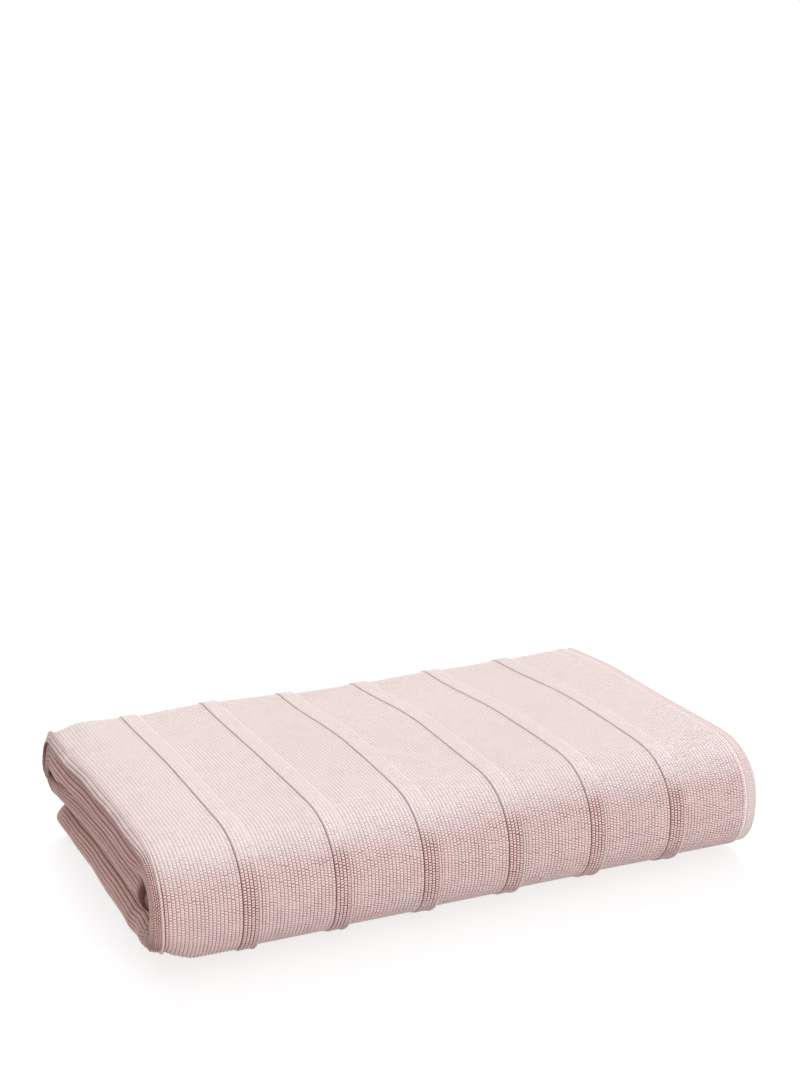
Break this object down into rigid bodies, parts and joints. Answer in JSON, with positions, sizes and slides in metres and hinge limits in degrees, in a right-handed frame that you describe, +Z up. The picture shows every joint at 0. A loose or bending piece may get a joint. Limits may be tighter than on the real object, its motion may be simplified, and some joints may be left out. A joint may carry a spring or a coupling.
{
  "type": "folded bath towel",
  "caption": "Ribbed terry bath towel with raised cross bands, folded into a thick three-layer stack whose top turns open over the front fold.",
  "frame": {"origin": "centre of the box's bottom face, on the surface that the towel lies on", "axes": "+X along the folded towel, from the left turn of the cloth to the hems; +Y from the thick front fold to the back fold; +Z up, through the stack"},
  "size_m": [0.352, 0.225, 0.0682],
  "materials": {
    "terry": "fine ribbed terry with small loops, matte",
    "band": "raised ribbed band, matte",
    "hem": "flat woven hem, matte",
    "selvedge": "tight woven selvedge, matte"
  },
  "bodies": {
    "lower_fold": {"bottom_outer_plies": "terry", "bottom_inner_plies": "terry", "bottom_end_turn": "terry", "bottom_outer_hem": "hem", "bottom_inner_hem": "hem", "front_lower_outer_plies": "terry", "front_lower_inner_plies": "terry", "front_lower_end_turn": "terry", "front_lower_outer_hem": "hem", "front_lower_inner_hem": "hem", "bottom_outer_selvedge": "selvedge", "bottom_inner_selvedge": "selvedge", "lower_band_1": "band", "lower_band_2": "band", "lower_band_3": "band", "lower_band_4": "band", "lower_band_5": "band", "lower_band_6": "band"},
    "upper_fold": {"front_upper_outer_plies": "terry", "front_upper_inner_plies": "terry", "front_upper_end_turn": "terry", "front_upper_outer_hem": "hem", "front_upper_inner_hem": "hem", "top_outer_plies": "terry", "top_inner_plies": "terry", "top_end_turn": "terry", "top_outer_hem": "hem", "top_inner_hem": "hem", "back_outer_plies": "terry", "back_inner_plies": "terry", "back_end_turn": "terry", "back_outer_hem": "hem", "back_inner_hem": "hem", "tuck_outer_plies": "terry", "tuck_inner_plies": "terry", "tuck_end_turn": "terry", "tuck_outer_hem": "hem", "tuck_inner_hem": "hem", "tuck_outer_selvedge": "selvedge", "tuck_inner_selvedge": "selvedge", "upper_band_1": "band", "upper_band_2": "band", "upper_band_3": "band", "upper_band_4": "band", "upper_band_5": "band", "upper_band_6": "band"}
  },
  "joints": [
    {"name": "front_fold_hinge", "type": "hinge", "parent": "lower_fold", "child": "upper_fold", "pos_m": [0, -0.1128, 0.0341], "axis": [1, 0, 0], "range_deg": [0, 180]}
  ]
}
